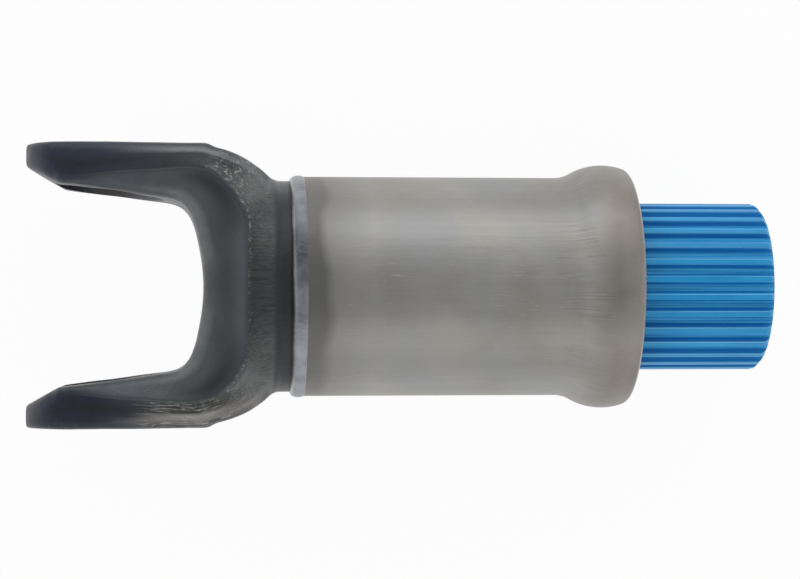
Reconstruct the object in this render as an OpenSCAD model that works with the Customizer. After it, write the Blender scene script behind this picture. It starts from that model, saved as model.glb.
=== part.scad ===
// Slip yoke of a heavy drive shaft, lying on its side.
// +X runs along the shaft from the fork to the splined end, +Y is the axis of the cross bores,
// +Z is up, and the origin is the centre of the universal joint, midway between the two ears.

/* [Fork] */
// Diameter of the bearing cup bores
bore_d = 52; // [46:0.5:54]
// Distance over the machined outer faces of the ears
ear_spread = 136.4; // [132:0.2:142]
// Distance between the ears, measured at the bore axis
ear_gap = 90.2; // [86:0.2:94]
// Slope of the inner faces of the ears, in degrees
ear_slope = 7.5; // [6:0.1:9]
// Forging draft on the back of each ear, behind the bore, in degrees
back_draft = 0.6; // [0:0.1:2]
// Radius of the rounded ear tip about the bore axis
nose_r = 40.4; // [38:0.2:43]
// Width of an ear across its flat sides
ear_w = 66; // [62:0.5:70]
// Angle of the clearance chamfer inside the tip of each ear, in degrees
tip_angle = 29; // [20:0.5:35]
// Distance from the bore axis to the throat of the fork
throat_x = 44.9; // [43:0.1:50]
// Radius of the bowed throat face
throat_r = 90; // [75:1:150]
// Distance from the bore axis to the back corner of an ear
ear_back_x = 46.5; // [44:0.5:51]
// Height of the base's parting ridge over the neck
base_over = 2.75; // [2.2:0.05:4]
// Distance from the bore axis to the start of the neck
neck_x = 78.5; // [76:0.5:84]
// Place of the parting ridge across the thickness, from the inner to the outer face
ridge_share = 0.6; // [0.5:0.02:0.7]
// Softened edge of the forging
forge_r = 5; // [3:0.5:7]
// Flare of an ear's side where it meets the shoulder
side_flare = 3; // [1:0.2:5]

/* [Bearing retention] */
// Distance from an ear's outer face to its snap ring groove
groove_inset = 3.5; // [3:0.1:5]
// Width of the snap ring groove
groove_w = 2.7; // [2:0.1:3.5]
// Depth of the snap ring groove
groove_depth = 1.3; // [1:0.1:1.6]

/* [Dust tube] */
// Outside diameter of the tube
tube_d = 106.9; // [105:0.1:109]
// Wall of the tube
tube_wall = 2; // [1.5:0.1:2.5]
// Length of the neck, from the fork base to the welded end of the tube
neck_len = 11.5; // [9:0.5:16]
// Length of the tube, from its welded end to the widest point of the bell
tube_len = 150; // [130:1:170]
// Height of the bell over the tube
bell_rise = 6.25; // [4.5:0.05:7.5]
// Radius of the turn from the tube into the flare
flare_r = 17; // [13:0.5:20]
// Radius of the bell's crown, at the middle of the wall
crown_r = 29.6; // [26:0.2:34]
// Length of the bell from its widest point to the curled corner
bell_nose = 9.1; // [7:0.1:12]
// Radius of the curled corner, at the middle of the wall
curl_r = 3.4; // [2.5:0.1:4]

/* [Weld] */
// Length of the bead along the shaft
weld_w = 7.1; // [6:0.1:8]
// Height of the bead over the tube
weld_h = 0.7; // [0.4:0.1:1.2]
// Part of the bead that lies on the neck
weld_toe = 3.4; // [2.6:0.1:4]

/* [Seal] */
// Height of the seal from the bell's wall to the edge of its lips
seal_h = 8.1; // [7.4:0.1:8.8]
// Length of the seal body
seal_len = 14; // [12:0.5:15]
// Thickness of a lip
lip_t = 2.4; // [1.8:0.1:3]
// Height of a lip over the hollow between the two
lip_h = 3.2; // [2.4:0.1:3.6]

/* [Shaft] */
// Clearance between the turned seat and the tube
seat_fit = 0.1; // [0:0.02:0.2]
// Length of the seat inside the tube
seat_len = 17; // [12:0.5:24]
// Step from the root of the teeth down to the plain shaft behind them
shank_relief = 1.8; // [1:0.1:4]
// Fillet between the seat and the plain shaft
shank_fillet = 7; // [4:0.5:10]
// Length of the shaft, from the welded end of the tube to the splined end face
shaft_len = 228.2; // [215:0.1:245]
// Diameter of the centre holes that the shaft is turned on
centre_d = 12; // [8:0.5:14]

/* [Spline] */
// Number of teeth
teeth = 30; // [24:1:34]
// Diameter over the steel teeth
spline_d = 80.8; // [78:0.1:82]
// Depth of the teeth
tooth_depth = 2.8; // [2.2:0.1:3.2]
// Length of the spline
spline_len = 188; // [170:1:195]
// Thickness of the nylon coat
coat_t = 0.6; // [0.4:0.05:0.8]
// Chamfer on the splined end
end_chamfer = 2.9; // [2.4:0.1:4]

/* [Hidden] */
$fn = 96;
eps = 0.01;

bore_r = bore_d / 2;
ear_y = ear_spread / 2;
ear_half_w = ear_w / 2;
tube_r = tube_d / 2;
neck_r = tube_r - tube_wall - seat_fit;
base_half_w = neck_r + base_over;
bell_r = tube_r + bell_rise;
root_r = spline_d / 2 - tooth_depth;
tube_x = neck_x + neck_len;
bell_x = tube_x + tube_len;
end_x = tube_x + shaft_len;
spline_x = end_x - spline_len;

// Stations of the loft: round the nose, along the ear, round the shoulder and over the web.
nose_n = 8;
ear_n = 4;
back_n = 7;
shoulder_n = 11;
web_n = 7;
tip_a = 8;
side_a = asin(ear_half_w / nose_r);
side_x = -nose_r * cos(side_a);
bend_x = throat_x - 21;
// Edge radius steps in a section, and the share of each side that a radius may take.
soft_n = 4;
soft_share = 0.45;
// Share of the half width that the inner flank and the outer draft take off the two faces.
flank_share = 0.2;
draft_share = 0.07;
// Least share of the thickness at which the ridge lies
crest_low = 0.12;
// Where the web's bowed face takes over from the throat corner, and how tight that corner is.
web_y = 14;
corner_pull = 0.98;
// How far the shoulder drops at the back corner, and how its curve leaves the ear and meets the neck.
back_drop = 2.3;
shoulder_out = 0.45;
shoulder_fall = 0.2;
shoulder_in = 0.3;
shoulder_in_a = 48;
// How far the base stands proud of the neck, and how deep its end is sunk into it.
base_step = 1.6;
sunk = 3;

// Centre holes: half the angle of the cone, and the pilot's share of the diameter
cone_a = 30;
pilot_share = 0.4;
// Weld crown: how far its curve leans out of the neck and lies back over the tube, and its two heights
crown_out = 0.1;
crown_back = 0.3;
crown_rise = 1.4;
crown_fall = 1.6;
// Width of the slope behind a lip, in lip thicknesses
lip_slope = 1.5;

// Steps in the arcs of the turned outlines
arc_n = 9;
flare_angle = acos(1 - bell_rise / (flare_r + crown_r));
tooth_pitch = 360 / teeth;
tip_share = 0.3;
root_share = 0.3;
flank_end = 0.8;
// Angle of the first tooth from straight up, as the part lies.
tooth_turn = 3.9;
// Chamfer at the end of the seat, and the overrun of cutting shapes
seat_chamfer = 1.5;
overrun = 1;
// Angle at which the curled mouth of the tube ends
curl_a = 85;

function mix(a, b, t) = a + (b - a) * t;
function clip(t) = min(1, max(0, t));
function ease(t) = t * t * (3 - 2 * t);
function flat_root(v) = sqrt(max(0, v));
function bezier(a, b, c, d, t) =
    pow(1 - t, 3) * a + 3 * t * pow(1 - t, 2) * b + 3 * t * t * (1 - t) * c + pow(t, 3) * d;

// Ear faces and throat, as heights over the shaft axis
function slope_y(x) = ear_gap / 2 - x * tan(ear_slope);
function inner_y(x) = slope_y(x) + max(0, side_x - x) * (tan(tip_angle) - tan(ear_slope));
function outer_y(x) = ear_y - max(0, x) * tan(back_draft);
function web_x(y) = throat_x - y * y / (2 * throat_r);

corner_y = slope_y(throat_x - 8);
function throat_point(t) = bezier(
    [bend_x, slope_y(bend_x)],
    [bend_x, slope_y(bend_x)] + corner_pull * (web_x(corner_y) - bend_x) * [1, -tan(ear_slope)],
    [web_x(web_y), web_y] + corner_pull * (corner_y - web_y) * [-web_y / throat_r, 1],
    [web_x(web_y), web_y],
    t);

back_point = [ear_back_x + 2 * back_drop, outer_y(ear_back_x) - back_drop];
neck_point = [neck_x, neck_r + base_step / 2];
function shoulder_point(t) = bezier(
    back_point,
    back_point + shoulder_out * (neck_x - back_point[0]) * [1, -shoulder_fall],
    neck_point + shoulder_in * (neck_x - back_point[0]) * [-cos(shoulder_in_a), sin(shoulder_in_a)],
    neck_point,
    t);

// A station holds its inner point, its outer point, the half width at the ridge, and how far
// the section has turned from the tip's plain block into the ridged bar and into the round base.
function nose_station(i) =
    let (a = mix(tip_a, side_a, i / nose_n), x = -nose_r * cos(a))
    [[x, inner_y(x)], [x, outer_y(x)], nose_r * sin(a), 0, 0];
function ear_station(i) =
    let (x = mix(side_x, bend_x, i / ear_n))
    [[x, inner_y(x)], [x, outer_y(x)], ear_half_w, x, 0];
function turn_share(i) = i / (back_n + 1 + shoulder_n);
function back_station(i) =
    let (x = mix(bend_x, ear_back_x, i / back_n))
    [throat_point(turn_share(i)), [x, outer_y(x)], ear_half_w + side_flare * pow(i / back_n, 2), x, 0];
function shoulder_station(i) =
    [throat_point(turn_share(i + back_n + 1)), shoulder_point(i / shoulder_n), 0, neck_x, i / shoulder_n];
function web_station(i) =
    let (y = web_y * (1 - i / web_n), end_y = neck_point[1] * cos(90 * i / web_n))
    [[web_x(y), y], [neck_x + sunk * min(1, 2 * i / web_n), end_y], 0, neck_x, 1];

half_stations = concat(
    [for (i = [0:nose_n - 1]) nose_station(i)],
    [for (i = [0:ear_n - 1]) ear_station(i)],
    [for (i = [0:back_n]) back_station(i)],
    [for (i = [0:shoulder_n]) shoulder_station(i)],
    [for (i = [1:web_n]) web_station(i)]);

// The ridge follows an ellipse round the base that starts at the ear's own width.
function ridge_at(s) = ridge_share * (1 - pow(1 - clip((s[3] - side_x) / (neck_x - side_x)), 3));
function ridge_y(s) = mix(s[0][1], s[1][1], ridge_at(s));
last_ear = half_stations[nose_n + ear_n + back_n];
function ellipse_w(y) =
    let (k = (pow(base_half_w, 2) - pow(last_ear[2], 2)) / pow(ridge_y(last_ear), 2))
    sqrt(max(pow(ear_half_w, 2), pow(base_half_w, 2) - k * y * y));
function ridge_w(s) = s[2] > 0 ? s[2] : ellipse_w(ridge_y(s));
function end_w(s) =
    let (round_w = flat_root(pow(neck_r + base_step, 2) - pow(s[1][1], 2)))
    mix(ridge_w(s) * (1 - draft_share), min(round_w, ridge_w(s)), ease(s[4]));

// One corner of a section, rounded towards its neighbours
function toward(v, w, r) = v + (w - v) * min(soft_share, r / max(eps, norm(w - v)));
function soft(u, v, w, r) =
    let (a = toward(v, u, r), b = toward(v, w, r))
    [for (i = [0:soft_n]) let (t = i / soft_n) pow(1 - t, 2) * a + 2 * t * (1 - t) * v + t * t * b];
function half_section(s) =
    let (
        depth = norm(s[1] - s[0]),
        ridge = ridge_at(s),
        w = ridge_w(s),
        inner = [0, w * (1 - flank_share * ridge / ridge_share)],
        crest = [depth * max(ridge, crest_low), w],
        outer = [depth, end_w(s)])
    concat(
        soft([0, 0], inner, crest, forge_r),
        soft(inner, crest, outer, forge_r / 2),
        soft(crest, outer, [depth, 0], forge_r));
function place(s, q, side) =
    let (p = s[0] + (s[1] - s[0]) * q[0] / norm(s[1] - s[0]))
    [p[0], p[1], side * q[1]];
function ring(s) =
    let (h = half_section(s))
    concat(
        [for (q = h) place(s, q, 1)],
        [for (i = [len(h) - 1:-1:0]) place(s, h[i], -1)]);
function flip(points) = [for (p = points) [p[0], -p[1], p[2]]];

// A closed skin over a run of equal rings
module skin(rings) {
    n = len(rings[0]);
    m = len(rings);
    points = [for (r = rings) for (p = r) p];
    sides = [for (i = [0:m - 2]) for (j = [0:n - 1]) for (half = [0, 1])
        let (a = i * n + j, b = i * n + (j + 1) % n)
        half == 0 ? [a, b, b + n] : [a, b + n, a + n]];
    start = [for (j = [n - 1:-1:0]) j];
    finish = [for (j = [0:n - 1]) (m - 1) * n + j];
    polyhedron(points = points, faces = concat([start], sides, [finish]));
}

// Turns a shape drawn round Z so that it lies along the shaft
module along_shaft() {
    rotate([0, 90, 0]) children();
}

// A turned piece from its outline of [place along the shaft, radius]
module turned(outline) {
    along_shaft() rotate_extrude() polygon([for (p = outline) [p[1], p[0]]]);
}

function arc(cx, cr, r, a0, a1, n) =
    [for (i = [0:n]) let (a = mix(a0, a1, i / n)) [cx + r * sin(a), cr + r * cos(a)]];

// The fork is one loft, from the upper ear's tip round the web to the lower ear's tip.
module fork_bar() {
    upper = [for (s = half_stations) ring(s)];
    lower = [for (i = [len(upper) - 2:-1:0]) flip(upper[i])];
    skin(concat(upper, lower));
}

// A centre hole: a pilot drilled under a cone that opens towards +X
module centre_hole(x) {
    pilot_r = pilot_share * centre_d / 2;
    cone_x = x - (centre_d / 2 - pilot_r) / tan(cone_a);
    turned([
        [cone_x - centre_d / 2, 0],
        [cone_x - centre_d / 2, pilot_r],
        [cone_x, pilot_r],
        [x, centre_d / 2],
        [x + overrun, centre_d / 2],
        [x + overrun, 0]]);
}

// Neck, seat and plain shaft, turned on the centre holes
module turned_core() {
    seat_end = tube_x + seat_len;
    shank_r = root_r - shank_relief;
    turned(concat(
        [[throat_x + sunk, 0], [neck_x - 2 * sunk, neck_r]],
        [[seat_end - seat_chamfer, neck_r], [seat_end, neck_r - seat_chamfer]],
        arc(seat_end + shank_fillet, shank_r + shank_fillet, shank_fillet, 270, 180, arc_n),
        [[spline_x + overrun, shank_r], [spline_x + overrun, 0]]));
}

// Outline across the teeth, grown outwards by a coat
function tooth_point(a, r) = [r * cos(a), r * sin(a)];
function spline_outline(grow) =
    let (
        tip_r = spline_d / 2 + grow,
        low_r = root_r + grow,
        tip_a = tooth_pitch * tip_share / 2,
        root_a = tooth_pitch * (1 - root_share) / 2)
    [for (i = [0:teeth - 1])
        for (q = [
            [-root_a, low_r],
            [-mix(root_a, tip_a, flank_end), mix(low_r, tip_r, flank_end)],
            [-tip_a * flank_end, tip_r],
            [tip_a * flank_end, tip_r],
            [mix(root_a, tip_a, flank_end), mix(low_r, tip_r, flank_end)],
            [root_a, low_r]])
            tooth_point(i * tooth_pitch + q[0], q[1])];

// The splined length, chamfered at both ends and run past them by an extra length
module splined_bar(grow, extra) {
    tip_r = spline_d / 2 + grow;
    low_r = tip_r - end_chamfer - extra;
    intersection() {
        translate([spline_x - extra, 0, 0]) along_shaft() rotate(180 + tooth_turn)
            linear_extrude(spline_len + 2 * extra) polygon(spline_outline(grow));
        turned([
            [spline_x - extra, 0],
            [spline_x - extra, low_r],
            [spline_x + end_chamfer + overrun, tip_r + overrun],
            [end_x - end_chamfer - overrun, tip_r + overrun],
            [end_x + extra, low_r],
            [end_x + extra, 0]]);
    }
}

// The snap ring groove inside one ear
module ring_groove(side) {
    depth_y = ear_y - groove_inset - groove_w;
    rotate([-90 * side, 0, 0]) translate([0, 0, depth_y]) cylinder(h = groove_w, r = bore_r + groove_depth);
}

// Fork, neck, seat and splined shaft: one forging, machined
module yoke_shaft() {
    color([0.27, 0.29, 0.32]) difference() {
        union() {
            fork_bar();
            turned_core();
            splined_bar(0, 0);
        }
        rotate([90, 0, 0]) cylinder(h = ear_spread + 2 * overrun, r = bore_r, center = true);
        ring_groove(1);
        ring_groove(-1);
        centre_hole(end_x);
        mirror([1, 0, 0]) centre_hole(-throat_x);
    }
}

// Nylon coat, bonded over the teeth
module spline_coating() {
    color([0.1, 0.45, 0.72]) difference() {
        splined_bar(coat_t, 0);
        splined_bar(0, overrun);
    }
}

// Middle of the tube's wall round the bell, from the flare to the curled mouth
function bell_path(grow) =
    let (
        mid_r = tube_r - tube_wall / 2,
        top_r = bell_r - tube_wall / 2,
        flare_x = bell_x - (flare_r + crown_r) * sin(flare_angle),
        nose_a = asin(bell_nose / crown_r),
        nose_c = crown_r - curl_r,
        curl_x = bell_x + nose_c * sin(nose_a),
        curl_c = top_r - crown_r + nose_c * cos(nose_a))
    concat(
        arc(flare_x, mid_r + flare_r, flare_r - grow, 180, 180 - flare_angle, arc_n),
        arc(bell_x, top_r - crown_r, crown_r + grow, -flare_angle, nose_a, 2 * arc_n),
        arc(curl_x, curl_c, curl_r + grow, nose_a, curl_a, arc_n));

// Drawn tube, belled and curled at its mouth
module dust_tube() {
    half = tube_wall / 2;
    outer = bell_path(half);
    inner = bell_path(-half);
    color([0.58, 0.57, 0.54]) turned(concat(
        [[tube_x, tube_r - tube_wall], [tube_x, tube_r]],
        outer,
        [for (i = [len(inner) - 1:-1:0]) inner[i]]));
}

// Weld bead: the neck and the tube shape its underside
module weld_bead() {
    start_x = tube_x - weld_toe;
    start = [start_x, neck_r];
    finish = [start_x + weld_w, tube_r];
    rising = start + [crown_out * weld_w, tube_r - neck_r + crown_rise * weld_h];
    falling = finish + [-crown_back * weld_w, crown_fall * weld_h];
    crown = [for (i = [0:arc_n]) bezier(start, rising, falling, finish, i / arc_n)];
    color([0.6, 0.6, 0.63]) difference() {
        turned(concat([[start_x, 0]], crown, [[finish[0], 0]]));
        translate([start_x - overrun, 0, 0]) along_shaft() cylinder(h = weld_w + 2 * overrun, r = neck_r);
        translate([tube_x, 0, 0]) along_shaft() cylinder(h = weld_w, r = tube_r);
    }
}

// Lip seal, seated in the bell: a wiping lip at its mouth, a second lip behind, and a hollow between them
module dust_seal() {
    seat_r = bell_r - tube_wall;
    seat_crown_r = crown_r - tube_wall / 2;
    crown_a = asin(seal_len / 2 / seat_crown_r);
    back_x = bell_x - seal_len / 2;
    front_x = bell_x + seal_len / 2;
    lip_r = seat_r - seal_h;
    hollow_r = lip_r + lip_h;
    color([0.08, 0.08, 0.09]) turned(concat(
        arc(bell_x, seat_r - seat_crown_r, seat_crown_r, -crown_a, crown_a, arc_n),
        [
            [front_x, lip_r + lip_h / 2],
            [front_x + lip_t / 2, lip_r],
            [front_x - lip_t / 2, lip_r],
            [front_x - lip_slope * lip_t, hollow_r],
            [back_x + lip_slope * lip_t, hollow_r],
            [back_x + lip_t / 2, lip_r],
            [back_x, lip_r]]));
}

yoke_shaft();
spline_coating();
dust_tube();
weld_bead();
dust_seal();
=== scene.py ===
import math

import bmesh
import bpy
import numpy as np
from mathutils import Matrix, Vector, noise
from mathutils.kdtree import KDTree


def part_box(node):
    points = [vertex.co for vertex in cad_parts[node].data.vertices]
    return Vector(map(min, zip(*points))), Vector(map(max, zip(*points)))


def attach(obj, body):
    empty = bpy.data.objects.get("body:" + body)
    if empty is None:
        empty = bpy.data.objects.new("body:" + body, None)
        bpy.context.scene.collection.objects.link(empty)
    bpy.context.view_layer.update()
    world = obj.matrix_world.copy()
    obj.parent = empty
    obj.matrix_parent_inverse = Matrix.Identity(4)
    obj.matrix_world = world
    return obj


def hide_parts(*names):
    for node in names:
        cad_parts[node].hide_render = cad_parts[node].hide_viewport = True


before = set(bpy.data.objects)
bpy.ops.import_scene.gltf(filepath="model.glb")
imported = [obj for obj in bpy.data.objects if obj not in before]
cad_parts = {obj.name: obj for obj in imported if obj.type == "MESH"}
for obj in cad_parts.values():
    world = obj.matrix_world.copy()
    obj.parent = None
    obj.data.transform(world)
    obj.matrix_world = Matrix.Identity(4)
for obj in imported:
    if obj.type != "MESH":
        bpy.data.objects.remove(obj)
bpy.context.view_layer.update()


# Camera: it looks down on the shaft as it lies on its side, from over the fork,
# so that the shaft runs across the picture and the cross bores point up the picture.
camera_data = bpy.data.cameras.new("camera")
camera_data.sensor_width = 36
camera_data.lens = 99
camera = bpy.data.objects.new("camera", camera_data)
bpy.context.scene.collection.objects.link(camera)
bpy.context.scene.camera = camera
camera_place = Vector((0.0433, -0.0228, 1.0736))
camera_target = Vector((0.1410, -0.0015, 0))
camera_lean = 0.0015
forward = (camera_target - camera_place).normalized()
rightward = forward.cross(Vector((camera_lean, 1, 0))).normalized()
upward = rightward.cross(forward)
camera.location = camera_place
camera.rotation_euler = Matrix((rightward, upward, -forward)).transposed().to_euler()


# Floor: a plain white sheet that carries the part and keeps its shadow.
# It reaches so far that its edge is never seen, and looks almost white to the camera.
floor_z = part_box("dust_tube")[0].z
half_floor = 12.0
floor_mesh = bpy.data.meshes.new("floor")
floor_mesh.from_pydata(
    [(x * half_floor, y * half_floor, floor_z) for x, y in ((-1, -1), (1, -1), (1, 1), (-1, 1))],
    [], [(0, 1, 2, 3)])
floor = bpy.data.objects.new("floor", floor_mesh)
bpy.context.scene.collection.objects.link(floor)


def add_node(tree, kind, sockets=None, **settings):
    """A node with its settings, and each named socket linked or set"""
    node = tree.nodes.new(kind)
    for name, value in settings.items():
        setattr(node, name, value)
    for name, value in (sockets or {}).items():
        if isinstance(value, bpy.types.NodeSocket):
            tree.links.new(value, node.inputs[name])
        else:
            node.inputs[name].default_value = value
    return node


def calc(tree, operation, first, second=0.0):
    return add_node(tree, "ShaderNodeMath", {0: first, 1: second}, operation=operation).outputs[0]


def bare_tree(owner):
    """The emptied node tree of a material or a world"""
    owner.use_nodes = True
    owner.node_tree.nodes.clear()
    return owner.node_tree


# White sheet: plain white to the camera and in reflections, and matt to the lamps, so a shadow shows
glow_share = 0.95
sheet_white = (0.9, 0.9, 0.9, 1)
floor_white = bpy.data.materials.new("floor_white")
tree = bare_tree(floor_white)
rays = add_node(tree, "ShaderNodeLightPath").outputs
straight_on = calc(tree, "MAXIMUM", rays["Is Camera Ray"], rays["Is Transmission Ray"])
looked_at = calc(tree, "MAXIMUM", straight_on, rays["Is Glossy Ray"])
matt = add_node(tree, "ShaderNodeBsdfDiffuse", {"Color": sheet_white}).outputs[0]
glow = add_node(tree, "ShaderNodeEmission", {"Strength": 1.0}).outputs[0]
sheet = add_node(tree, "ShaderNodeMixShader", {
    0: calc(tree, "MULTIPLY", looked_at, glow_share), 1: matt, 2: glow}).outputs[0]
add_node(tree, "ShaderNodeOutputMaterial", {"Surface": sheet})
floor_mesh.materials.append(floor_white)


# Light: a soft white tent that is dimmer straight above, where the camera stands, with one large
# softbox beyond each ear. The far one is the stronger.
horizon_level = 0.86
zenith_level = 0.5
dimmer_from = 0.25
world = bpy.data.worlds.new("studio")
bpy.context.scene.world = world
tree = bare_tree(world)
sky_height = add_node(tree, "ShaderNodeSeparateXYZ", {
    0: add_node(tree, "ShaderNodeTexCoord").outputs["Generated"]}).outputs["Z"]
sky_level = add_node(tree, "ShaderNodeMapRange", {
    "Value": sky_height, "From Min": dimmer_from, "To Min": horizon_level, "To Max": zenith_level},
    interpolation_type="SMOOTHSTEP").outputs["Result"]
sky = add_node(tree, "ShaderNodeBackground", {"Color": (1, 1, 1, 1), "Strength": sky_level}).outputs[0]
add_node(tree, "ShaderNodeOutputWorld", {"Surface": sky})

softbox_size = (2.0, 0.9)
softbox_aim = Vector((0.14, 0, 0))
softbox_reach = 0.95
softbox_height = 0.45
for name, side, power in (("softbox_far", 1, 5.0), ("softbox_near", -1, 2.2)):
    lamp = bpy.data.lights.new(name, "AREA")
    lamp.shape = "RECTANGLE"
    lamp.size, lamp.size_y = softbox_size
    lamp.energy = power
    holder = bpy.data.objects.new(name, lamp)
    bpy.context.scene.collection.objects.link(holder)
    holder.location = softbox_aim + Vector((0, side * softbox_reach, softbox_height))
    holder.rotation_mode = "QUATERNION"
    holder.rotation_quaternion = (softbox_aim - holder.location).to_track_quat("-Z", "Y")

bpy.context.scene.view_settings.view_transform = "Standard"


# Fork and neck: one steel forging, struck in two dies that close along the shaft. The flash that ran
# round the sides of the ears and round the base was trimmed off along the shaft, which leaves a rough land
# of axial tears there. The scale stays on; the cross bores and their snap ring grooves are machined.
MM = 0.001
bore_r = 26 * MM
ear_y = 68.2 * MM
half_gap = 45.1 * MM
ear_slope = math.radians(7.5)
back_draft = math.radians(0.6)
nose_r = 40.4 * MM
ear_half_w = 33 * MM
tip_angle = math.radians(29)
tip_start = math.radians(8)
throat_x = 44.9 * MM
throat_r = 90 * MM
ear_back_x = 46.5 * MM
neck_x = 78.5 * MM
neck_r = 51.35 * MM
base_half_w = neck_r + 2.75 * MM
base_step = 1.6 * MM
side_flare = 3 * MM
forge_r = 5 * MM
crest_r = 2.2 * MM
corner_share = 0.12
least_ridge = 0.12
ridge_share = 0.6
flank_share = 0.2
draft_share = 0.07
corner_back = 8 * MM
corner_pull = 0.98
back_drop = 2.3 * MM
shoulder_out = 0.45
shoulder_fall = 0.2
shoulder_in = 0.3
shoulder_in_a = math.radians(48)
web_y = 14 * MM
sunk = 3 * MM
tube_x = 90 * MM
side_a = math.asin(ear_half_w / nose_r)
side_x = -nose_r * math.cos(side_a)
side_blend = 7 * MM
bend_x = throat_x - 21 * MM
nose_n = 16
side_n = 10
back_n = 14
shoulder_n = 26
web_n = 12
soft_n = 6
span_n = 4
round_n = 192


def mix(a, b, t):
    return a + (b - a) * t


def clip(t):
    return min(1.0, max(0.0, t))


def ease(t):
    return t * t * (3 - 2 * t)


def bezier(a, b, c, d, t):
    return (1 - t) ** 3 * a + 3 * t * (1 - t) ** 2 * b + 3 * t * t * (1 - t) * c + t ** 3 * d


def slope_y(x):
    return half_gap - x * math.tan(ear_slope)


def inner_y(x):
    return slope_y(x) + max(0, side_x - x) * (math.tan(tip_angle) - math.tan(ear_slope))


def outer_y(x):
    return ear_y - max(0, x) * math.tan(back_draft)


def web_x(y):
    return throat_x - y * y / (2 * throat_r)


def throat_point(t):
    corner_y = slope_y(throat_x - corner_back)
    start = np.array((bend_x, slope_y(bend_x)))
    end = np.array((web_x(web_y), web_y))
    leave = start + corner_pull * (web_x(corner_y) - bend_x) * np.array((1, -math.tan(ear_slope)))
    arrive = end + corner_pull * (corner_y - web_y) * np.array((-web_y / throat_r, 1))
    return bezier(start, leave, arrive, end, t)


def shoulder_point(t):
    start = np.array((ear_back_x + 2 * back_drop, outer_y(ear_back_x) - back_drop))
    end = np.array((neck_x, neck_r + base_step / 2))
    reach = neck_x - start[0]
    leave = start + shoulder_out * reach * np.array((1, -shoulder_fall))
    arrive = end + shoulder_in * reach * np.array((-math.cos(shoulder_in_a), math.sin(shoulder_in_a)))
    return bezier(start, leave, arrive, end, t)


def side_at(x):
    """Half width of an ear: the nose's arc runs into the straight side over a short blend"""
    arc_w = math.sqrt(max(0, nose_r ** 2 - x * x)) if x < 0 else nose_r
    overlap = clip(1 - abs(arc_w - ear_half_w) / side_blend)
    return min(arc_w, ear_half_w) - side_blend * overlap ** 2 / 4


def fork_stations():
    """Inner point, outer point, half width, place and turn of each section, from an ear's tip to the web"""
    stations = []
    for a in np.linspace(tip_start, side_a, nose_n, endpoint=False):
        x = -nose_r * math.cos(a)
        stations.append(((x, inner_y(x)), (x, outer_y(x)), side_at(x), 0, 0))
    for x in np.linspace(side_x, bend_x, side_n, endpoint=False):
        stations.append(((x, inner_y(x)), (x, outer_y(x)), side_at(x), x, 0))
    turns = back_n + 1 + shoulder_n
    for i in range(back_n + 1):
        x = mix(bend_x, ear_back_x, i / back_n)
        half_w = ear_half_w + side_flare * (i / back_n) ** 2
        stations.append((throat_point(i / turns), (x, outer_y(x)), half_w, x, 0))
    for i in range(shoulder_n + 1):
        turned = i / shoulder_n
        inner_point = throat_point((i + back_n + 1) / turns)
        stations.append((inner_point, shoulder_point(turned), None, neck_x, turned))
    for i in range(1, web_n + 1):
        y = web_y * (1 - i / web_n)
        end_x = neck_x + sunk * min(1, 3 * i / web_n)
        end_y = (neck_r + base_step / 2) * math.cos(math.pi / 2 * i / web_n)
        stations.append(((web_x(y), y), (end_x, end_y), None, neck_x, 1))
    return stations


def ridge_at(place):
    """How far the ridge stands from the inner face, as a share of the section"""
    return ridge_share * (1 - (1 - clip((place - side_x) / (neck_x - side_x))) ** 3)


def soft_corner(before, corner, after, radius):
    """A rounded corner that takes less than half of either side"""
    steps = []
    for other in (before, after):
        reach = other - corner
        steps.append(corner + reach * min(0.45, radius / max(np.linalg.norm(reach), 0.01 * MM)))
    shares = np.linspace(0, 1, soft_n + 1)[:, None]
    return (1 - shares) ** 2 * steps[0] + 2 * shares * (1 - shares) * corner + shares ** 2 * steps[1]


stations = fork_stations()
last_ear = [station for station in stations if station[2] is not None][-1]
last_ridge_y = mix(last_ear[0][1], last_ear[1][1], ridge_at(last_ear[3]))


def fork_ring(station):
    """Points round one section, and each one's place across the side: 0 at the inner edge, 1 on the
    ridge and 2 at the outer edge"""
    inner_point, outer_point, half_w, place, turned = station
    inner_point, outer_point = np.array(inner_point), np.array(outer_point)
    depth = np.linalg.norm(outer_point - inner_point)
    ridge = ridge_at(place)
    ridge_y = mix(inner_point[1], outer_point[1], ridge)
    if half_w is None:
        # Behind the ears the ridge runs on round the base as part of an ellipse
        fall = (base_half_w ** 2 - last_ear[2] ** 2) / last_ridge_y ** 2
        half_w = math.sqrt(max(ear_half_w ** 2, base_half_w ** 2 - fall * ridge_y ** 2))
    round_w = math.sqrt(max(0, (neck_r + base_step) ** 2 - outer_point[1] ** 2))
    end_w = mix(half_w * (1 - draft_share), min(round_w, half_w), ease(turned))
    first = np.array((0, 0))
    inner = np.array((0, half_w * (1 - flank_share * ridge / ridge_share)))
    crest = np.array((depth * max(ridge, least_ridge), half_w))
    outer = np.array((depth, end_w))
    last = np.array((depth, 0))
    corners = [soft_corner(first, inner, crest, forge_r), soft_corner(inner, crest, outer, crest_r),
               soft_corner(crest, outer, last, forge_r)]
    half, across = [], []
    for i, corner in enumerate(corners):
        if half:
            for share in np.linspace(0, 1, span_n + 1)[1:-1]:
                half.append(mix(corners[i - 1][-1], corner[0], share))
                across.append(i - 1 + corner_share + share * (1 - 2 * corner_share))
        half.extend(corner)
        across.extend(i + corner_share * np.linspace(-1, 1, len(corner)))
    along = (outer_point - inner_point) / depth
    ring = [(*(inner_point + along * q[0]), q[1]) for q in half]
    ring += [(*(inner_point + along * q[0]), -q[1]) for q in reversed(half)]
    return ring, across + across[::-1]


def new_piece(name, points, faces):
    mesh = bpy.data.meshes.new(name)
    mesh.from_pydata([tuple(p) for p in points], [], faces)
    piece = bpy.data.objects.new(name, mesh)
    bpy.context.scene.collection.objects.link(piece)
    return piece


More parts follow.
